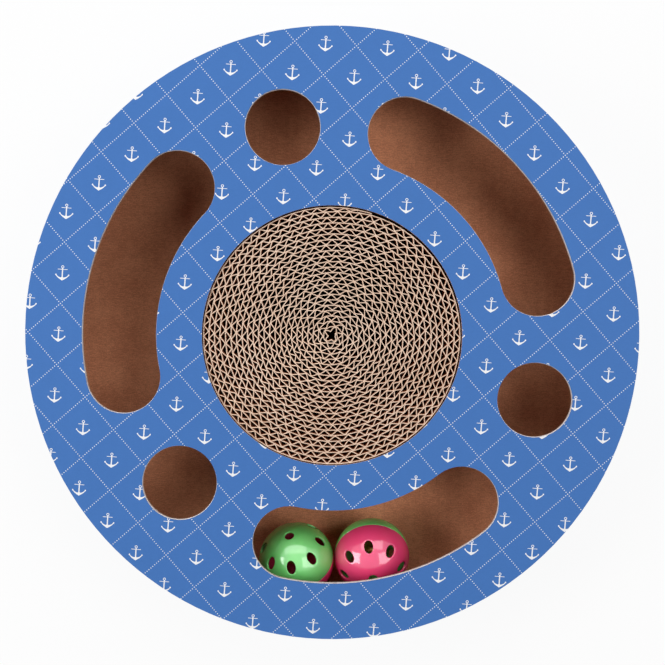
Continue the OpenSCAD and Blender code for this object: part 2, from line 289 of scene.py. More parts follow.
def softbox(name, bearing, rise, size, power):
    """A rectangular lamp that faces the middle of the drum, at an angle round it and above it."""
    bearing, rise = math.radians(bearing), math.radians(rise)
    flat = math.cos(rise)
    toward = Vector((flat * math.cos(bearing), flat * math.sin(bearing), math.sin(rise)))
    lamp = bpy.data.lights.new(name, "AREA")
    lamp.shape = "RECTANGLE"
    lamp.size, lamp.size_y = size
    lamp.energy = power
    holder = bpy.data.objects.new(name, lamp)
    holder.location = SOFTBOX_DISTANCE * toward
    holder.rotation_euler = (-toward).to_track_quat("-Z", "Y").to_euler()
    bpy.context.scene.collection.objects.link(holder)


world = bpy.data.worlds.new("studio")
world.use_nodes = True
bpy.context.scene.world = world
sky_level = ramp(seen_directly(world.node_tree), 0.0, 1.0, SKY_LEVEL, 1.0)
sky = world.node_tree.nodes["Background"]
fill(world.node_tree, sky, {"Color": WHITE, "Strength": sky_level})
for box_name, box in SOFTBOXES.items():
    softbox(box_name, **box)
print("softboxes:", ", ".join(SOFTBOXES))

# %% [markdown]
# ## Paper
#
# Nearly everything here is paper, so its look is one node group: a fine grain, longer fibres that
# lie mostly one way, soft clouds where the pulp was thicker, and a few dark flecks. Each material
# takes its tone, its height for the bump and its flecks in its own strength. The coordinates are
# millimetres, so the grain keeps its size.

# %% Node group for paper
GRAIN_SCALE = 1.3
FIBRE_SCALE, FIBRE_STRETCH = 0.9, (0.4, 1.6, 1.0)
CLOUD_SCALE = 0.045
FLECK_SCALE, FLECK_STRETCH = 1.9, (0.7, 1.6, 1.0)
FLECK_START, FLECK_FULL = 0.68, 0.74
PULP_ROUGHNESS = 0.6


def paper_group():
    """Tone and Height are about 0 to 1, Flecks is 1 on a fleck. Vector is in millimetres."""
    sockets = ["Tone", "Height", "Flecks"]
    tree, given, out = new_group("paper", {"Vector": "NodeSocketVector"}, sockets)

    def pulp(scale, detail, stretch=(1.0, 1.0, 1.0)):
        """Noise whose waves are closer or wider along each axis by the stretch."""
        values = {0: given["Vector"], 1: stretch}
        place = add_node(tree, "ShaderNodeVectorMath", values, operation="MULTIPLY").outputs[0]
        return noise(tree, place, scale, detail, PULP_ROUGHNESS)

    grain = pulp(GRAIN_SCALE, 4.0)
    fibres = pulp(FIBRE_SCALE, 3.0, FIBRE_STRETCH)
    clouds = pulp(CLOUD_SCALE, 2.0)
    fill(tree, out, {
        "Tone": grain * 0.45 + fibres * 0.3 + clouds * 0.25,
        "Height": grain * 0.6 + fibres * 0.4,
        "Flecks": ramp(pulp(FLECK_SCALE, 2.0, FLECK_STRETCH), FLECK_START, FLECK_FULL),
    })
    return tree


PAPER = paper_group()
print("paper group:", len(PAPER.nodes), "nodes")

# %% [markdown]
# ## Flutes that show through
#
# The face of a corrugated board is glued to the tips of its flutes and dips a little between them.
# The dips are far below a tenth of a millimetre, so they are bump and not geometry. One group turns
# a distance across the flutes into that height, for flat boards and bent ones alike.

# %% Node group for flutes under a face
BOARD_FLUTE = 6.4


def washboard_group():
    """Height is 1 over a flute's tip and 0 between two tips. Across is in millimetres."""
    tree, given, out = new_group("washboard", {"Across": "NodeSocketFloat"}, ["Height"])
    phase = Field(tree, given["Across"]) * (2 * math.pi / BOARD_FLUTE)
    fill(tree, out, {"Height": phase.maths("SINE") * 0.5 + 0.5})
    return tree


WASHBOARD = washboard_group()
print("washboard group:", len(WASHBOARD.nodes), "nodes")

# %% [markdown]
# ## The anchor print
#
# The top is printed with white anchors in the middle of diamonds of dotted lines, an old sailor's
# pattern. It could be an image, but a formula stays sharp at any distance. The anchor is the least
# of the distances to its ring, shank, stock, arms, flukes and crown, each given in millimetres from
# the anchor's middle.

# %% Formula of an anchor
RING_Y, RING_RADIUS, RING_HALF = 3.2, 0.62, 0.17
SHANK_Y, SHANK_REACH, SHANK_HALF = -0.35, 2.95, 0.3
STOCK_Y, STOCK_REACH, STOCK_HALF = 1.85, 2.65, 0.15
ARM_Y, ARM_RADIUS, ARM_TOP = 0.75, 3.85, -1.05
ARM_INNER, ARM_OUTER, ARM_THICK_HALF, ARM_THIN_HALF = 0.6, 3.4, 0.46, 0.2
FLUKE_X, FLUKE_Y, FLUKE_SQUASH, FLUKE_RADIUS = 3.42, -1.15, 0.8, 0.36
CROWN_Y, CROWN_SLOPE, CROWN_HALF = -3.15, 0.62, 1.05


def anchor_distance(x, y):
    """Distance in millimetres to the outline of an anchor about 8 mm tall, below 0 inside it."""
    side = abs(x)
    ring = abs(length(x, y - RING_Y) - RING_RADIUS) - RING_HALF
    shank = (side - SHANK_HALF).maths("MAXIMUM", abs(y - SHANK_Y) - SHANK_REACH)
    stock = (side - STOCK_REACH).maths("MAXIMUM", abs(y - STOCK_Y) - STOCK_HALF)
    arm_half = ramp(side, ARM_INNER, ARM_OUTER, ARM_THICK_HALF, ARM_THIN_HALF)
    arms = (abs(length(x, y - ARM_Y) - ARM_RADIUS) - arm_half).maths("MAXIMUM", y - ARM_TOP)
    flukes = length(side - FLUKE_X, (y - FLUKE_Y) * FLUKE_SQUASH) - FLUKE_RADIUS
    crown = side * CROWN_SLOPE + abs(y - CROWN_Y) - CROWN_HALF
    return least(ring, shank, stock, arms, flukes, crown)


print("anchor is", round(RING_Y + RING_RADIUS + RING_HALF - CROWN_Y + CROWN_HALF, 2), "mm tall")

# %% [markdown]
# The plane is cut into diamonds by two slanted coordinates. Rounding them gives the place within
# one diamond, where the anchor stands. The dots are distances to points along the diamond's edges.

# %% Node group for the print
PRINT_PERIOD = 32.95
DOTS_ON_EDGE = 17
DOT_ACROSS = 0.31
DOT_ALONG = 0.22
INK_EDGE = 0.03


def anchor_print_group():
    """Ink is 1 on the white of the print. Vector is in millimetres, with y up the anchors."""
    tree, given, out = new_group("anchor_print", {"Vector": "NodeSocketVector"}, ["Ink"])
    x, y, _ = split(tree, given["Vector"])
    p = (x + y) / PRINT_PERIOD
    q = (x - y) / PRINT_PERIOD
    off_p = p - p.maths("ROUND")
    off_q = q - q.maths("ROUND")
    half = PRINT_PERIOD / 2
    anchor = anchor_distance((off_p + off_q) * half, (off_p - off_q) * half)
    edge = PRINT_PERIOD / math.sqrt(2)
    dots = []
    for across, along in ((p, q), (q, p)):
        beside = (across.maths("FRACT") - 0.5) * edge
        step = ((along * DOTS_ON_EDGE).maths("FRACT") - 0.5) * (edge / DOTS_ON_EDGE)
        dots.append((length(beside / DOT_ACROSS, step / DOT_ALONG) - 1.0) * DOT_ALONG)
    fill(tree, out, {"Ink": ramp(least(anchor, *dots), -INK_EDGE, INK_EDGE, 1.0, 0.0)})
    return tree


ANCHOR_PRINT = anchor_print_group()
print("anchor print group:", len(ANCHOR_PRINT.nodes), "nodes")

# %% [markdown]
# ## Printed paper
#
# The same ink lies on the flat top and on the wrap round the side, only the coordinates differ. On
# the top they are the plane turned by the few degrees that the print is askew. On the side they are
# the distance round the wall and the height, with the join at the back, where the wrap laps. Where
# a face doesn't point up, the top sheet is cut, and shows pale unprinted paper.

# %% Helpers for materials
def start_material(name):
    """A material: itself, its tree, its shader, the place in millimetres and the normal."""
    material = bpy.data.materials.new(name)
    material.use_nodes = True
    tree = material.node_tree
    coordinates = tree.nodes.new("ShaderNodeTexCoord").outputs
    values = {0: coordinates["Object"], "Scale": 1 / MM}
    place = add_node(tree, "ShaderNodeVectorMath", values, operation="SCALE").outputs[0]
    return material, tree, tree.nodes["Principled BSDF"], place, coordinates["Normal"]


def bump(tree, height, depth):
    """Normal of a surface that rises by so many metres where a field goes from 0 to 1."""
    values = {"Height": height, "Distance": depth, "Strength": 1.0}
    return add_node(tree, "ShaderNodeBump", values).outputs[0]


def board_face(tree, place, wall_radius, upright):
    """Flat coordinates of a board's face in millimetres, with its paper and its flutes. Round a
    wall they are the distance from its front and the height, and upright swaps the two."""
    across, y, z = split(tree, place)
    if wall_radius:
        across = across.maths("ARCTAN2", y * -1.0) * wall_radius
        values = {int(upright): across, int(not upright): z}
        place = add_node(tree, "ShaderNodeCombineXYZ", values).outputs[0]
    paper = place_group(tree, PAPER, {"Vector": place})
    return place, paper, place_group(tree, WASHBOARD, {"Across": across})["Height"]


def level_face(field):
    """1 where a part of the normal is near 1, and 0 on the faces of a cut."""
    return ramp(field, 0.4, 0.6)


def dress(material, *names):
    """Gives CAD nodes their finish through their material slots."""
    for name in names:
        for slot in nodes[name].material_slots:
            slot.material = material


print("solids to dress:", len(nodes))

# %% Printed paper for the top and the side
PRINT_TURN = math.radians(4.235)
PRINT_ORIGIN = (1.55, 6.58)
PRINT_BLUE = paint(73, 121, 190)
PRINT_WHITE = paint(252, 252, 254)
CUT_PAPER = paint(244, 236, 230)
BLUE_DEEP, BLUE_PALE = 0.9, 1.12


def shade(colour, share):
    """The same colour, lighter or darker by a share."""
    return tuple(part * share for part in colour[:3]) + (1.0,)


def printed_paper(name, wall_radius=None):
    """Blue paper with the anchor print, flat or round a wall of that radius in millimetres."""
    material, tree, shader, place, normal = start_material(name)
    flat, paper, flutes = board_face(tree, place, wall_radius, upright=False)
    turned = add_node(tree, "ShaderNodeMapping", {"Vector": flat})
    if not wall_radius:
        fill(tree, turned, {"Rotation": (0.0, 0.0, PRINT_TURN),
                            "Location": (-PRINT_ORIGIN[0], -PRINT_ORIGIN[1], 0.0)})
    ink = place_group(tree, ANCHOR_PRINT, {"Vector": turned.outputs[0]})["Ink"]
    blues = shade(PRINT_BLUE, BLUE_DEEP), shade(PRINT_BLUE, BLUE_PALE)
    colour = blend(tree, ink, blend(tree, paper["Tone"], *blues), PRINT_WHITE)
    if not wall_radius:
        colour = blend(tree, level_face(split(tree, normal)[2]), CUT_PAPER, colour)
    fill(tree, shader, {
        "Base Color": colour,
        "Roughness": paper["Tone"] * 0.2 + 0.42,
        "Specular IOR Level": 0.12,
        "Normal": bump(tree, paper["Height"] * 0.35 + flutes * 0.65, 0.05 * MM),
    })
    return material


wall_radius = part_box("wall_print_wrap")[1].x / MM
dress(printed_paper("printed_top"), "top_print_sheet")
dress(printed_paper("printed_side", wall_radius), "wall_print_wrap")
print("print wraps a wall of radius", round(wall_radius, 2), "mm")

# %% [markdown]
# ## Kraft board
#
# Inside, the board is bare brown kraft. Light reaches the track only through the holes and bounces
# from brown to brown, so the colour is written lighter than it looks in the shade. The roof and the
# walls of the track are given a darker brown as painted shade: it darkens these faces and the light
# that bounces from them onto the floor. The bent walls read their flutes round the wall, the flat
# boards across it.

# %% Kraft paper
KRAFT_PAPERS = {
    "floor": (paint(206, 131, 94), paint(250, 174, 131)),
    "outer": (paint(186, 130, 94), paint(222, 166, 126)),
    # A darker brown for the track's roof and walls: painted shade inside the track.
    "track_shade": (paint(118, 76, 53), paint(150, 103, 75)),
}
KRAFT_FLECK = paint(120, 78, 52)
FLECK_STRENGTH = 0.6
FLUTE_DIP_SHADE = 0.01


def kraft(name, grade, wall_radius=None):
    """Bare board face of a grade, flat with pale cuts or bent to a wall of that radius in mm."""
    material, tree, shader, place, normal = start_material(name)
    _, paper, flutes = board_face(tree, place, wall_radius, upright=True)
    # The flutes lighten the tone a little over their tips: painted shade in the dips between them.
    tone = ramp(paper["Tone"] + flutes * FLUTE_DIP_SHADE, 0.36, 0.66)
    colour = blend(tree, tone, *KRAFT_PAPERS[grade])
    colour = blend(tree, paper["Flecks"] * FLECK_STRENGTH, colour, KRAFT_FLECK)
    if not wall_radius:
        colour = blend(tree, level_face(abs(split(tree, normal)[2])), CUT_PAPER, colour)
    fill(tree, shader, {
        "Base Color": colour,
        "Roughness": paper["Tone"] * 0.25 + 0.62,
        "Specular IOR Level": 0.2,
        "Normal": bump(tree, paper["Height"] * 0.8 + flutes * 0.2, 0.08 * MM),
    })
    return material


dress(kraft("kraft_floor", "floor"), "base_track_liner")
dress(kraft("kraft_outer", "outer"), "base_outer_liner", "top_fluting", "base_fluting")
dress(kraft("kraft_roof", "track_shade"), "top_kraft_liner")
WALLS = ("wall_kraft_liner", "wall_fluting", "ring_track_liner", "ring_fluting", "ring_coil_liner")
for wall in WALLS:
    dress(kraft(wall + "_paper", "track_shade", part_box(wall)[1].x / MM), wall)
print("kraft on", len(WALLS), "walls and 5 layers of the boards")

# %% [markdown]
# ## Tape, glue and metal
#
# The small hidden things get their own finishes too: gummed paper tape over the seams, waxy beads
# of hot glue in the corners, plated bells and their steel pellets. They show when a ball rolls past
# a hole or the coil is lifted.

# %% Tape and glue
def paper_tape():
    """Gummed paper tape, a shade yellower than the board, with its fibres along the tape."""
    material, tree, shader, place, _ = start_material("paper_tape")
    paper = place_group(tree, PAPER, {"Vector": place})
    tone = ramp(paper["Tone"], 0.3, 0.7)
    fill(tree, shader, {
        "Base Color": blend(tree, tone, paint(178, 140, 98), paint(206, 170, 124)),
        "Roughness": paper["Tone"] * 0.3 + 0.4,
        "Normal": bump(tree, paper["Height"], 0.04 * MM),
    })
    return material


def hot_glue():
    """Waxy hot glue: a smooth uneven bead that takes on the brown of the board under it."""
    material, tree, shader, place, _ = start_material("hot_glue")
    swell = noise(tree, place, 0.12, 2.0)
    bubbles = noise(tree, place, 0.9, 1.0)
    fill(tree, shader, {
        "Base Color": blend(tree, swell, paint(176, 134, 92), paint(206, 172, 124)),
        "Roughness": bubbles * 0.25 + 0.22,
        "Normal": bump(tree, swell * 0.8 + bubbles * 0.2, 0.6 * MM),
    })
    return material


tapes = [name for name in nodes if "tape" in name]
beads = [name for name in nodes if "glue" in name]
dress(paper_tape(), *tapes)
dress(hot_glue(), *beads)
print("taped seams:", len(tapes), "glue beads:", len(beads))

# %% Bells and pellets
def worn_metal(name, bright, dull, polish):
    """Bare or plated metal with rubbed, duller patches and fine scratches."""
    material, tree, shader, place, _ = start_material(name)
    patches = noise(tree, place, 0.7, 3.0)
    scratches = noise(tree, place, 6.0, 2.0)
    fill(tree, shader, {
        "Base Color": blend(tree, ramp(patches, 0.4, 0.7), bright, dull),
        "Roughness": patches * 0.3 + polish,
        "Metallic": 1.0,
        "Normal": bump(tree, scratches, 0.01 * MM),
    })
    return material


bells = [name for name in nodes if "bell" in name]
pellets = [name for name in nodes if "pellet" in name]
dress(worn_metal("plated_bell", paint(226, 190, 110), paint(186, 146, 78), 0.15), *bells)
dress(worn_metal("pellet_steel", paint(190, 190, 194), paint(150, 150, 154), 0.2), *pellets)
print("bell halves:", len(bells), "pellets:", len(pellets))

# %% [markdown]
# ## From arrays to meshes
#
# New pieces are whole numpy arrays: a profile of a few points carried along a path of many
# stations. The quads between neighbouring profiles follow from the counts alone. Points that meet
# are merged, normals are turned outwards, and corners sharper than a given angle stay sharp.

# %% Grids of points and quads
def grid_quads(rows, columns, close_rows=False, close_columns=False):
    """Corner numbers of a grid's quads, joined end to end where a direction is closed."""
    row = np.arange(rows if close_rows else rows - 1)[:, None]
    column = np.arange(columns if close_columns else columns - 1)[None, :]
    this_row, next_row = row * columns, (row + 1) % rows * columns
    next_column = (column + 1) % columns
    corners = (this_row + column, this_row + next_column,
               next_row + next_column, next_row + column)
    return np.stack(np.broadcast_arrays(*corners), -1).reshape(-1, 4)


def join_grids(grids, close_rows=False):
    """Points and quads of several grids with closed columns, set one after another."""
    starts = np.cumsum([0] + [grid.shape[0] * grid.shape[1] for grid in grids])
    quads = [start + grid_quads(*grid.shape[:2], close_rows, True)
             for start, grid in zip(starts, grids)]
    return np.concatenate([grid.reshape(-1, 3) for grid in grids]), np.concatenate(quads)


def end_quads(first, count):
    """Quads that close the end of a tube: opposite points of an even profile, joined in strips."""
    near = np.arange(count // 2 - 1)
    far = count - 1 - near
    return first + np.stack([near, near + 1, far - 1, far], -1)


def left_of(ahead):
    """Unit vectors to the left of directions in the plane."""
    ahead = ahead / np.linalg.norm(ahead, axis=1, keepdims=True)
    return np.stack([-ahead[:, 1], ahead[:, 0]], 1)


tube_quads = grid_quads(10, 4, close_columns=True)
print("a tube of 10 stations and 4 points has", len(tube_quads), "side quads")

# %% [markdown]
# A piece also has to know the body that it rides on and the solids that it stands for, which are
# then hidden.

# %% Make a piece from points and quads
SHARP_CORNER = math.radians(40)
MERGE_DISTANCE = 0.001 * MM


def make_piece(name, points, quads, material, body, slot, *stands_for):
    """Puts points in metres and quads into a mesh that rides on a body and replaces CAD nodes."""
    mesh = bpy.data.meshes.new(name)
    mesh.vertices.add(len(points))
    mesh.vertices.foreach_set("co", np.asarray(points, np.float32).ravel())
    mesh.loops.add(quads.size)
    mesh.loops.foreach_set("vertex_index", quads.astype(np.int32).ravel())
    mesh.polygons.add(len(quads))
    mesh.polygons.foreach_set("loop_start", np.arange(0, quads.size, 4, dtype=np.int32))
    mesh.update(calc_edges=True)
    solid = bmesh.new()
    solid.from_mesh(mesh)
    bmesh.ops.remove_doubles(solid, verts=solid.verts, dist=MERGE_DISTANCE)
    bmesh.ops.recalc_face_normals(solid, faces=solid.faces)
    solid.to_mesh(mesh)
    solid.free()
    mesh.shade_smooth()
    mesh.set_sharp_from_angle(angle=SHARP_CORNER)
    mesh.materials.append(material)
    piece = bpy.data.objects.new(name, mesh)
    bpy.context.scene.collection.objects.link(piece)
    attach(piece, body)
    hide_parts(*stands_for)
    print(name, "has", len(mesh.polygons), "faces")


print("pieces keep corners over", round(math.degrees(SHARP_CORNER)), "degrees sharp")

# %% [markdown]
# ## The scratching coil
#
# The coil is one long strip of single-face board: a smooth liner with a fluted paper glued to its
# inside, wound up until it fills its well and cut level. From above one sees only the two cut
# edges, a spiral and a zigzag, with deep dark cells between. Curves with a bevel could draw them,
# but a path in numpy holds the small faults that make it look wound by hand: turns that stray,
# flutes that vary, cut edges that are not quite level.

# %% Path of the wound strip
TURN_PITCH = 2.9 * MM
STRIP_FLUTE = 6.4 * MM
STRIP_PAPER = 0.48 * MM
CORE_RADIUS = 2.75 * MM
CORE_HOLE = 1.5 * MM
COIL_RADIUS = 69.45 * MM
COIL_LEAN = np.array([-0.08, -0.22]) * MM
STRIP_END = math.radians(72)
STATIONS_IN_FLUTE = 12
FULL_TURN = 2 * math.pi

coil_low, coil_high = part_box("coil_liner")
strip_turn = (COIL_RADIUS - STRIP_PAPER / 2 - CORE_RADIUS) / TURN_PITCH * FULL_TURN
strip_length = strip_turn * (CORE_RADIUS + TURN_PITCH * strip_turn / (2 * FULL_TURN))
along = np.arange(0, strip_length, STRIP_FLUTE / STATIONS_IN_FLUTE)
grown = np.sqrt(CORE_RADIUS ** 2 + TURN_PITCH * along / math.pi) - CORE_RADIUS
turned = grown / TURN_PITCH * FULL_TURN
spiral = CORE_RADIUS + TURN_PITCH * turned / FULL_TURN
bearing = STRIP_END + strip_turn - turned
print("strip of", round(strip_length, 2), "m in", round(strip_turn / FULL_TURN, 1), "turns")

# %% [markdown]
# Nobody winds a true spiral. Some slow waves push whole groups of turns in and out, alike for
# neighbours, so that turns never cross. The outermost turns are pressed round to fill the well.

# %% Turns that stray and spread
WAVES = 6
WAVE_SIZES = (0.04, 0.13)
WAVE_COUNTS = (2, 9)
WAVE_TWISTS = (-0.12, 0.12)
RIM_FADE = 6 * MM
CORE_FADE = 10 * MM
END_LAP = 0.12
END_PRESS = 0.85
SPREAD_POWER = 3
chance = np.random.default_rng(11)
wave_size = chance.uniform(*WAVE_SIZES, WAVES)[:, None] * MM
wave_count = chance.integers(*WAVE_COUNTS, WAVES)[:, None]
wave_twist = chance.uniform(*WAVE_TWISTS, WAVES)[:, None] / MM
wave_phase = chance.uniform(0, FULL_TURN, WAVES)[:, None]


def stray(radius):
    """How far a turn strays from the true spiral: a sum of waves round the coil that fades at its
    rim and core."""
    fade = np.clip((COIL_RADIUS - radius) / RIM_FADE, 0, 1) * np.clip(radius / CORE_FADE, 0, 1)
    waves = wave_size * np.sin(wave_count * bearing + wave_twist * radius + wave_phase)
    return fade * waves.sum(0)


def spread(radius):
    """How far the last turns are pressed out to fill the round well. A spiral falls short of its
    end by a part of a pitch, which grows along the turn. The end is pressed flat, and the step
    beside it is eased over a short lap."""
    past_end = (STRIP_END - bearing) / FULL_TURN % 1
    before = np.clip((past_end - 1) / END_LAP + 1, 0, 1) ** 2
    after = np.clip(1 - past_end / END_LAP, 0, 1) ** 2
    step = END_PRESS * before - (1 - END_PRESS) * after
    last = radius > spiral[-1] - TURN_PITCH * END_LAP
    step[last & (past_end > 1 - END_LAP)] = 0
    share = (np.abs(radius) / COIL_RADIUS) ** SPREAD_POWER
    return TURN_PITCH * (1 - past_end + step) * share


def wound(radius):
    """Radius of the strip as it is really wound, for a radius on the true spiral."""
    return radius + stray(radius) + spread(radius)


print("turns stray by up to", round(np.abs(stray(spiral)).max() / MM, 2), "mm")

# %% [markdown]
# The flutes are no truer: they slip along the strip, some are pressed lower, and the blade that cut
# the strip left its edge a little uneven.

# %% Flutes that slip and cuts that dip
SHORT_SLIP_EVERY, SHORT_SLIP = 9 * MM, 0.3 * MM
LONG_SLIP_EVERY, LONG_SLIP = 45 * MM, 2.0 * MM
PRESS_EVERY, PRESS_SHARE = 5 * MM, 0.07
DIP_EVERY, DIP, DEEPEST_DIP = 11 * MM, 0.16 * MM, 0.5 * MM


def wander(spacing):
    """Smooth random values about 0 along the strip, with a new one at each spacing."""
    knots = chance.normal(size=int(strip_length / spacing) + 3)
    where = along / spacing
    low = where.astype(int)
    ease = (1 - np.cos((where - low) * math.pi)) / 2
    return knots[low] * (1 - ease) + knots[low + 1] * ease


flute_slip = wander(SHORT_SLIP_EVERY) * SHORT_SLIP + wander(LONG_SLIP_EVERY) * LONG_SLIP
flute_phase = (along + flute_slip) / STRIP_FLUTE * FULL_TURN
flute_swing = 1 - PRESS_SHARE * np.abs(wander(PRESS_EVERY))
cut_level = coil_high.z - np.clip(np.abs(wander(DIP_EVERY)) * DIP, 0, DEEPEST_DIP)
print("cut edges dip by up to", round((coil_high.z - cut_level.min()) / MM, 2), "mm")

# %% [markdown]
# The cut edges of the strip are paler than its faces, because they show torn fibres. The faces sink
# into shade within a few millimetres, so the material only has to tell an upward face from an
# upright one.

# %% Paper of the coil
COIL_EDGE_LIGHT = paint(254, 228, 206)
COIL_EDGE_DARK = paint(228, 190, 162)
COIL_FACE_LIGHT = paint(222, 160, 118)
COIL_FACE_DARK = paint(176, 118, 82)


def torn_paper(tree, shader, paper, colour):
    """Finishes a shader as matt paper with torn fibres."""
    fill(tree, shader, {
        "Base Color": colour,
        "Roughness": paper["Tone"] * 0.2 + 0.7,
        "Specular IOR Level": 0.15,
        "Normal": bump(tree, paper["Height"], 0.06 * MM),
    })


def coil_paper():
    """Kraft paper whose upward cut edges are pale."""
    material, tree, shader, place, normal = start_material("coil_paper")
    paper = place_group(tree, PAPER, {"Vector": place})
    tone = ramp(paper["Tone"], 0.32, 0.7)
    edge = blend(tree, tone, COIL_EDGE_DARK, COIL_EDGE_LIGHT)
    face = blend(tree, tone, COIL_FACE_DARK, COIL_FACE_LIGHT)
    colour = blend(tree, ramp(split(tree, normal)[2], 0.3, 0.7), face, edge)
    torn_paper(tree, shader, paper, colour)
    return material


COIL_PAPER = coil_paper()
print("coil paper has", len(COIL_PAPER.node_tree.nodes), "nodes")

# %% [markdown]
# The liner lies on the wound spiral and ripples a little where the flutes pull it. The flutes swing
# between this turn and the one inside it, rounder than a zigzag, and their tips sink into the glue.

# %% Wind the liner and the flutes
TIP_SHARPNESS = 0.75
TIP_SINK = 0.2 * MM
END_FLAT = math.radians(6)
LINER_RIPPLE = 0.07 * MM


def upright_strip(name, radius, stands_for):
    """A strip of paper that stands on its edge along a path of radii: the path moved to either
    side by half the paper, at the foot and at the cut."""
    count = len(radius)
    angle, level = bearing[:count], cut_level[:count]
    path = np.stack([radius * np.cos(angle), radius * np.sin(angle)], 1) + COIL_LEAN
    aside = left_of(np.gradient(path, axis=0)) * STRIP_PAPER / 2
    foot = np.full(count, coil_low.z)
    sides = ((-1, foot), (-1, level), (1, level), (1, foot))
    points = np.stack([np.column_stack([path + aside * side, z]) for side, z in sides], 1)
    tube = grid_quads(count, 4, close_columns=True)
    quads = np.concatenate([tube, end_quads(0, 4), end_quads(4 * (count - 1), 4)])
    make_piece(name, points.reshape(-1, 3), quads, COIL_PAPER, "coil", "coil_board", stands_for)


zigzag = np.arcsin(TIP_SHARPNESS * np.cos(flute_phase)) / math.asin(TIP_SHARPNESS)
outer_turn = wound(spiral)
inner_turn = np.maximum(wound(spiral - TURN_PITCH), CORE_HOLE)
flute_rise = (outer_turn - inner_turn) / 2 - STRIP_PAPER + TIP_SINK
liner_radius = outer_turn + LINER_RIPPLE * (np.cos(flute_phase) - 1)
flute_radius = (outer_turn + inner_turn) / 2 + flute_rise * flute_swing * zigzag
fluted = int(np.argmax(turned > strip_turn - END_FLAT))
print("widest turn at", round(liner_radius.max() / MM, 2), "mm")
upright_strip("coil_wound_liner", liner_radius, "coil_liner")
upright_strip("coil_wound_flutes", flute_radius[:fluted], "coil_fluting")

# %% [markdown]
# ## Cut edges of the boards
#
# Wherever the top and the base are cut, the flutes of the board show as a fine wave between its two
# faces. To draw it there, the outlines of all cuts are laid out first: the rim, the coil's opening,
# three round paw holes and three curved slots, each run through with the board on its left.

# %% Outlines of the openings
SLOT_MIDDLES = [math.radians(a) for a in (42.8, 163.6, 283.1)]
SLOT_SPANS = [math.radians(a) for a in (74.8, 75.0, 69.6)]
HOLE_BEARINGS = [math.radians(a) for a in (103.3, 224.0, 342.5)]
REACH_RADIUS = 114.5 * MM
SLOT_HALF = 20.0 * MM
HOLE_RADIUS = 20.25 * MM
OPENING_RADIUS = 70.0 * MM
EDGE_STEP = 0.6 * MM
ARC_POINTS = 200
CENTRE = (0, 0)
drum_radius = (cad_box[1][0] - cad_box[0][0]) / 2


def on_reach(angle):
    """Point on the circle through the middles of the holes and slots."""
    return REACH_RADIUS * math.cos(angle), REACH_RADIUS * math.sin(angle)


def arc(middle, radius, start, end):
    """Points of an arc about a middle point, close together, without its last one."""
    angle = np.linspace(start, end, ARC_POINTS)[:-1]
    return np.stack([middle[0] + radius * np.cos(angle), middle[1] + radius * np.sin(angle)], 1)


def even(path):
    """The same closed outline with its points an even step apart."""
    closed = np.concatenate([path, path[:1]])
    steps = np.linalg.norm(np.diff(closed, axis=0), axis=1)
    run = np.concatenate([[0], np.cumsum(steps)])
    at = np.linspace(0, run[-1], int(run[-1] / EDGE_STEP), endpoint=False)
    return np.stack([np.interp(at, run, closed[:, i]) for i in (0, 1)], 1)


def ring_outline(middle, radius):
    """A circle, run through clockwise, so that what lies outside it is on its left."""
    return even(arc(middle, radius, FULL_TURN, 0))


def slot_outline(middle, span):
    """A slot with round ends along the circle of reach, run through clockwise."""
    swing = span / 2 - math.asin(SLOT_HALF / REACH_RADIUS)
    first, last = middle + swing, middle - swing
    return even(np.concatenate([
        arc(CENTRE, REACH_RADIUS + SLOT_HALF, first, last),
        arc(on_reach(last), SLOT_HALF, last, last - math.pi),
        arc(CENTRE, REACH_RADIUS - SLOT_HALF, last, first),
        arc(on_reach(first), SLOT_HALF, first + math.pi, first),
    ]))


rim_outline = ring_outline(CENTRE, drum_radius)[::-1]
coil_outline = ring_outline(CENTRE, OPENING_RADIUS)
paw_outlines = [ring_outline(on_reach(angle), HOLE_RADIUS) for angle in HOLE_BEARINGS]
paw_outlines += [slot_outline(middle, span) for middle, span in zip(SLOT_MIDDLES, SLOT_SPANS)]
cut_outlines = [rim_outline, coil_outline, *paw_outlines]
print("cut outlines:", len(cut_outlines), "with", sum(map(len, cut_outlines)), "points")

# %% [markdown]
# One matt finish, in two pairs of tones, does for the brown flutes in the cut and for the white
# torn edge of the printed sheet.

# %% Paper of the cut edges
def cut_paper(name, deep, pale):
    """Freshly cut paper: matt torn fibres between two tones."""
    material, tree, shader, place, _ = start_material(name)
    paper = place_group(tree, PAPER, {"Vector": place})
    colour = blend(tree, ramp(paper["Tone"], 0.3, 0.7), deep, pale)
    torn_paper(tree, shader, paper, colour)
    return material


FLUTING_PAPER = cut_paper("fluting_paper", paint(168, 116, 84), paint(204, 150, 114))
TORN_PAPER = cut_paper("torn_paper", paint(238, 230, 226), paint(254, 250, 248))
print("cut paper has", len(TORN_PAPER.node_tree.nodes), "nodes")

# %% [markdown]
# Only the first millimetres of the flutes can be seen, so each cut gets a ribbon of fluted paper
# that follows the outline and runs a little way into the board. The height of the ribbon is a wave
# of the x coordinate, as the flutes run along y.

# %% Flutes along the cuts
FLUTE_PAPER = 0.25 * MM
FLUTE_DEPTH = 8.0 * MM
DEPTH_STEPS = 6


def inward_from(outline):
    """Unit vectors from the points of an outline into the board on its left."""
    return left_of(np.roll(outline, -1, 0) - np.roll(outline, 1, 0))


def fluted_ribbon(outline, low, high):
    """Points of a thin waved sheet: the outline moved inwards in steps, at a height that waves
    with x, above and below by half the paper."""
    depth = np.linspace(0, FLUTE_DEPTH, DEPTH_STEPS)
    plan = outline[:, None, :] + inward_from(outline)[:, None, :] * depth[None, :, None]
    swing = (high - low - FLUTE_PAPER) / 2
    wave = (low + high) / 2 + swing * np.sin(plan[..., 0] / (BOARD_FLUTE * MM) * FULL_TURN)
    above = np.concatenate([plan, (wave + FLUTE_PAPER / 2)[..., None]], -1)
    below = np.concatenate([plan, (wave - FLUTE_PAPER / 2)[..., None]], -1)
    return np.concatenate([above, below[:, ::-1]], 1)


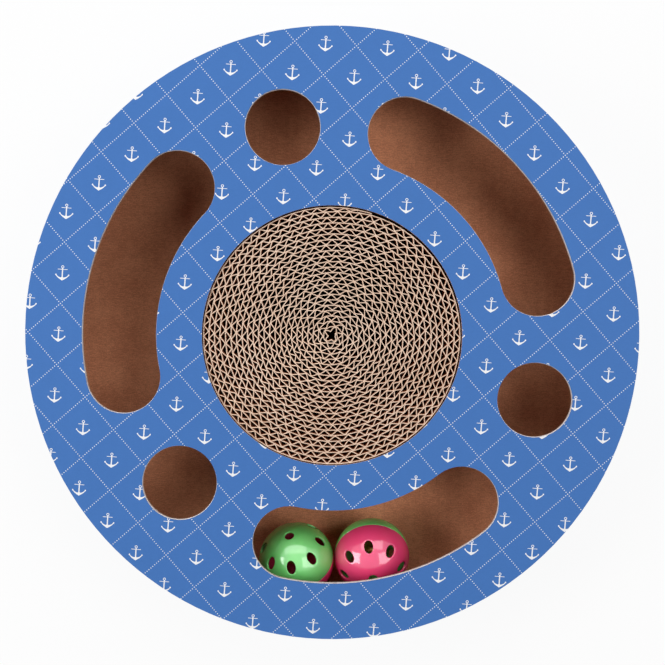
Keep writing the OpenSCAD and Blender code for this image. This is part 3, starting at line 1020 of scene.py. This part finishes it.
def fluted_edges(name, outlines, node):
    """One piece with a fluted ribbon along each outline, in the height of the board's core."""
    low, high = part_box(node)
    ribbons = [fluted_ribbon(outline, low.z, high.z) for outline in outlines]
    points, quads = join_grids(ribbons, close_rows=True)
    make_piece(name, points, quads, FLUTING_PAPER, "drum", "kraft_board", node)


fluted_edges("top_cut_flutes", cut_outlines, "top_fluting")
fluted_edges("base_cut_flutes", [rim_outline], "base_fluting")

# %% [markdown]
# A die tears the paper a little as it cuts, and leaves a burr that stands out of the edge. It is
# only half a millimetre thick, yet it draws a thin light line on the far side of every paw hole and
# slot, where one sees the cut.

# %% Burr along the paw openings
BURR_RADIUS = 0.25 * MM
BURR_DROP = 1.1 * MM
BURR_SIDES = 8


def burr(outline):
    """A thin round bead along an outline, a little below the printed face."""
    angle = np.arange(BURR_SIDES) / BURR_SIDES * FULL_TURN
    aside = (BURR_RADIUS * np.cos(angle))[None, :, None]
    plan = outline[:, None, :] + inward_from(outline)[:, None, :] * aside
    level = cad_box[1][2] - BURR_DROP + BURR_RADIUS * np.sin(angle)
    return np.concatenate([plan, np.broadcast_to(level, plan.shape[:2])[..., None]], -1)


burr_points, burr_quads = join_grids([burr(outline) for outline in paw_outlines], close_rows=True)
make_piece("top_cut_burr", burr_points, burr_quads, TORN_PAPER, "drum", "print_paper")

# %% [markdown]
# ## The balls
#
# Each ball is two snapped halves of thin glossy plastic, one green and one pink, with a hole at
# each pole and a ring of oval holes. Cutting holes with booleans leaves poor meshes, so the half is
# laid out round its holes: eight equal sectors, each a grid that runs from the sector's border over
# the rim of its oval and back inside, a cap round the pole and a band at the equator with the lap
# where the halves meet. The borders share their points, so the shell closes.

# %% Sizes of a ball
BALL_RADIUS = 21.5 * MM
BALL_WALL = 1.2 * MM
BALL_LAP = 2.0 * MM
LAP_GAP = 0.05 * MM
OVAL_HALF_LONG = 3.7 * MM
OVAL_HALF_WIDE = 2.5 * MM
OVAL_POLAR = math.radians(50.3)
POLE_HOLE = 2.7 * MM
SECTORS = 8
RIM_ROUND = 0.3 * MM
SEAM_ROUND = 0.22 * MM
CAP_POLAR = math.radians(22)
BAND_POLAR = math.radians(83.3)
BORDER_STEPS = (10, 14)
SURFACE_STEPS = 7
CORNER_POINTS = 4
inner_radius = BALL_RADIUS - BALL_WALL
lap_radius = BALL_RADIUS - BALL_WALL / 2
print("lap of the halves at radius", round(lap_radius / MM, 2), "mm")


# %% Sector round an oval hole
def on_sphere(polar, azimuth):
    """Unit vectors at an angle from the pole and round it."""
    polar, azimuth = np.broadcast_arrays(polar, azimuth)
    flat = np.sin(polar)
    return np.stack([flat * np.cos(azimuth), flat * np.sin(azimuth), np.cos(polar)], -1)


def rim_rows():
    """Offsets from a hole's edge and radii, from the outer face round the rim to the inner face:
    two rounded corners of a quarter turn each, with the hole's wall between them."""
    turn = np.linspace(0, math.pi / 2, CORNER_POINTS)
    offset = RIM_ROUND * (1 - np.sin(turn))
    outer = BALL_RADIUS - RIM_ROUND * (1 - np.cos(turn))
    inner = inner_radius + RIM_ROUND * (1 - np.cos(turn))
    return np.concatenate([offset, offset[::-1]]), np.concatenate([outer, inner[::-1]])


def sector_border():
    """Unit vectors round the border of one sector: along the band, up, along the cap and down."""
    half = math.pi / SECTORS
    wide, tall = BORDER_STEPS
    azimuth = np.concatenate([
        np.linspace(-half, half, wide, endpoint=False), np.full(tall, half),
        np.linspace(half, -half, wide, endpoint=False), np.full(tall, -half)])
    polar = np.concatenate([
        np.full(wide, BAND_POLAR), np.linspace(BAND_POLAR, CAP_POLAR, tall, endpoint=False),
        np.full(wide, CAP_POLAR), np.linspace(CAP_POLAR, BAND_POLAR, tall, endpoint=False)])
    return on_sphere(polar, azimuth)


def oval_sector():
    """Grid from the border of one sector over the rim of its oval hole to the inner border. In the
    plane that touches the ball at the hole, a row lies between the oval and the border, and is
    lifted onto the sphere."""
    border = sector_border()
    outward = on_sphere(OVAL_POLAR, 0.0)
    down = on_sphere(OVAL_POLAR + math.pi / 2, 0.0)
    sideways = np.array([0.0, 1.0, 0.0])
    plan = np.stack([border @ down, border @ sideways], -1)
    angle = np.arctan2(plan[:, 1] / OVAL_HALF_WIDE, plan[:, 0] / OVAL_HALF_LONG)

    def oval(offset):
        """The oval, wider by an offset."""
        long, wide = OVAL_HALF_LONG + offset, OVAL_HALF_WIDE + offset
        return np.stack([long * np.cos(angle), wide * np.sin(angle)], -1)

    offsets, radii = rim_rows()
    share = np.linspace(1, 0, SURFACE_STEPS)[:-1, None, None]
    back = share[::-1]
    rows = np.concatenate([
        plan * BALL_RADIUS * share + oval(RIM_ROUND) * (1 - share),
        np.stack([oval(offset) for offset in offsets]),
        plan * inner_radius * back + oval(RIM_ROUND) * (1 - back)])
    steps = SURFACE_STEPS - 1
    levels = np.concatenate([np.full(steps, BALL_RADIUS), radii, np.full(steps, inner_radius)])
    lift = np.sqrt(levels[:, None] ** 2 - (rows ** 2).sum(-1))
    return rows[..., :1] * down + rows[..., 1:] * sideways + lift[..., None] * outward


print("a sector is a grid of", " by ".join(map(str, oval_sector().shape[:2])), "points")


# %% Cap, band and the whole half
def turned_profile(radius, height):
    """A profile of radii and heights carried round the pole, with the stations of the sectors."""
    stations = np.arange(SECTORS * BORDER_STEPS[0]) / BORDER_STEPS[0] - 0.5
    angle = stations * 2 * math.pi / SECTORS
    circle = np.stack([np.cos(angle), np.sin(angle)], -1)
    around = circle[None] * np.asarray(radius)[:, None, None]
    level = np.broadcast_to(np.asarray(height)[:, None, None], around.shape[:2] + (1,))
    return np.concatenate([around, level], -1)


def pole_cap():
    """Cap from the sectors' upper border over the rim of the pole's hole to the inner border."""
    offsets, radii = rim_rows()
    edge = POLE_HOLE + offsets
    rim = POLE_HOLE + RIM_ROUND
    there = np.linspace(CAP_POLAR, math.asin(rim / BALL_RADIUS), SURFACE_STEPS)[:-1]
    back = np.linspace(math.asin(rim / inner_radius), CAP_POLAR, SURFACE_STEPS)[1:]
    radius = [BALL_RADIUS * np.sin(there), edge, inner_radius * np.sin(back)]
    height = [BALL_RADIUS * np.cos(there), np.sqrt(radii ** 2 - edge ** 2),
              inner_radius * np.cos(back)]
    return turned_profile(np.concatenate(radius), np.concatenate(height))


def equator_band(lip):
    """Band from the sectors' lower border round the rounded edge at the equator to the inner
    border. The lip half has a lip that stands past the equator, the other a step that takes it."""
    polar = np.linspace(BAND_POLAR, math.pi / 2 - SEAM_ROUND / BALL_RADIUS, CORNER_POINTS)
    turn = np.linspace(0, math.pi / 2, CORNER_POINTS)[1:]
    radius = [*(BALL_RADIUS * np.sin(polar)), *(BALL_RADIUS - SEAM_ROUND * (1 - np.cos(turn)))]
    height = [*(BALL_RADIUS * np.cos(polar)), *(SEAM_ROUND * (1 - np.sin(turn)))]
    if lip:
        tip, face = LAP_GAP - BALL_LAP, lap_radius - LAP_GAP
        radius += [face, face, math.sqrt(inner_radius ** 2 - tip ** 2), inner_radius]
        height += [0.0, tip, tip, 0.0]
    else:
        radius += [lap_radius, lap_radius, math.sqrt(inner_radius ** 2 - BALL_LAP ** 2)]
        height += [0.0, BALL_LAP, BALL_LAP]
    radius.append(inner_radius * math.sin(BAND_POLAR))
    height.append(inner_radius * math.cos(BAND_POLAR))
    return turned_profile(radius, height)


def half_ball(lip):
    """All grids of a half with its pole up, as points and quads."""
    x, y, z = np.moveaxis(oval_sector(), -1, 0)
    turns = 2 * math.pi / SECTORS * np.arange(SECTORS)
    c, s = np.cos(turns)[:, None, None], np.sin(turns)[:, None, None]
    level = np.broadcast_to(z, (SECTORS,) + z.shape)
    sectors = np.stack([c * x - s * y, s * x + c * y, level], -1)
    return join_grids([*sectors, pole_cap(), equator_band(lip)])


print("a half ball has", len(half_ball(True)[1]), "quads before its borders are merged")

# %% [markdown]
# The plastic is pearly: fine flat flakes lie along its skin and throw back a broad soft white where
# one looks straight at them, and leave the deep colour bare where one looks along them. That soft
# white is the shader's coat, made rough and fading towards the edges, and the smooth skin under it
# gives the sharp images of the softboxes. A very faint unevenness in the moulding keeps them from
# being perfect.

# %% Moulded plastic
PEARL_FULL, PEARL_GONE = 0.35, 0.95


def ball_plastic(name, pale, deep, pearl):
    """Glossy plastic with a share of pearl, faint flow marks and handling marks."""
    material, tree, shader, place, _ = start_material(name)
    flow = noise(tree, place, 0.09, 2.0)
    marks = noise(tree, place, 0.8, 3.0)
    edge_on = Field(tree, add_node(tree, "ShaderNodeLayerWeight", {"Blend": 0.5}).outputs["Facing"])
    fill(tree, shader, {
        "Base Color": blend(tree, flow, deep, pale),
        "Roughness": marks * 0.06 + 0.05,
        "IOR": 1.75,
        "Subsurface Weight": 0.15,
        "Subsurface Radius": pale[:3],
        "Subsurface Scale": 2 * MM,
        "Coat Weight": ramp(edge_on, PEARL_FULL, PEARL_GONE, pearl, 0.0),
        "Coat IOR": 2.1,
        "Coat Roughness": 0.6,
        "Normal": bump(tree, flow * 0.7 + marks * 0.3, 0.05 * MM),
    })
    return material


PLASTICS = {
    "green": ball_plastic("green_plastic", paint(124, 226, 114), paint(96, 220, 104), 1.0),
    "pink": ball_plastic("pink_plastic", paint(248, 60, 122), paint(244, 52, 114), 0.45),
}
print("plastics:", ", ".join(PLASTICS))

# %% [markdown]
# A ball comes to rest in any position. The tilt of its pole, the way it leans and its spin, in
# degrees, were read from its holes and its seam in the photograph. Its middle is the place of the
# joint that rolls it.

# %% Set the halves in their balls
BALL_LIES = {1: (54.7, 101.6, 39.0), 2: (21.9, -89.4, 8.5)}
BALL_HALVES = {1: ("green", "pink"), 2: ("pink", "green")}
joint_places = {joint["name"]: joint.get("pos_m") for joint in frame["joints"]}

for number, lie in BALL_LIES.items():
    tilt, azimuth, spin = (math.radians(angle) for angle in lie)
    leaning = Matrix.Rotation(azimuth, 3, "Z") @ Matrix.Rotation(tilt, 3, "Y")
    lying = leaning @ Matrix.Rotation(spin, 3, "Z")
    middle = np.array(joint_places[f"ball_{number}_roll"])
    for colour, up in zip(BALL_HALVES[number], (1, -1)):
        half_points, half_quads = half_ball(lip=up < 0)
        half_points = half_points * (1, 1, up) @ np.array(lying).T + middle
        make_piece(f"ball_{number}_{colour}_shell", half_points, half_quads, PLASTICS[colour],
                   f"ball_{number}_shell", f"{colour}_plastic", f"ball_{number}_{colour}_half")
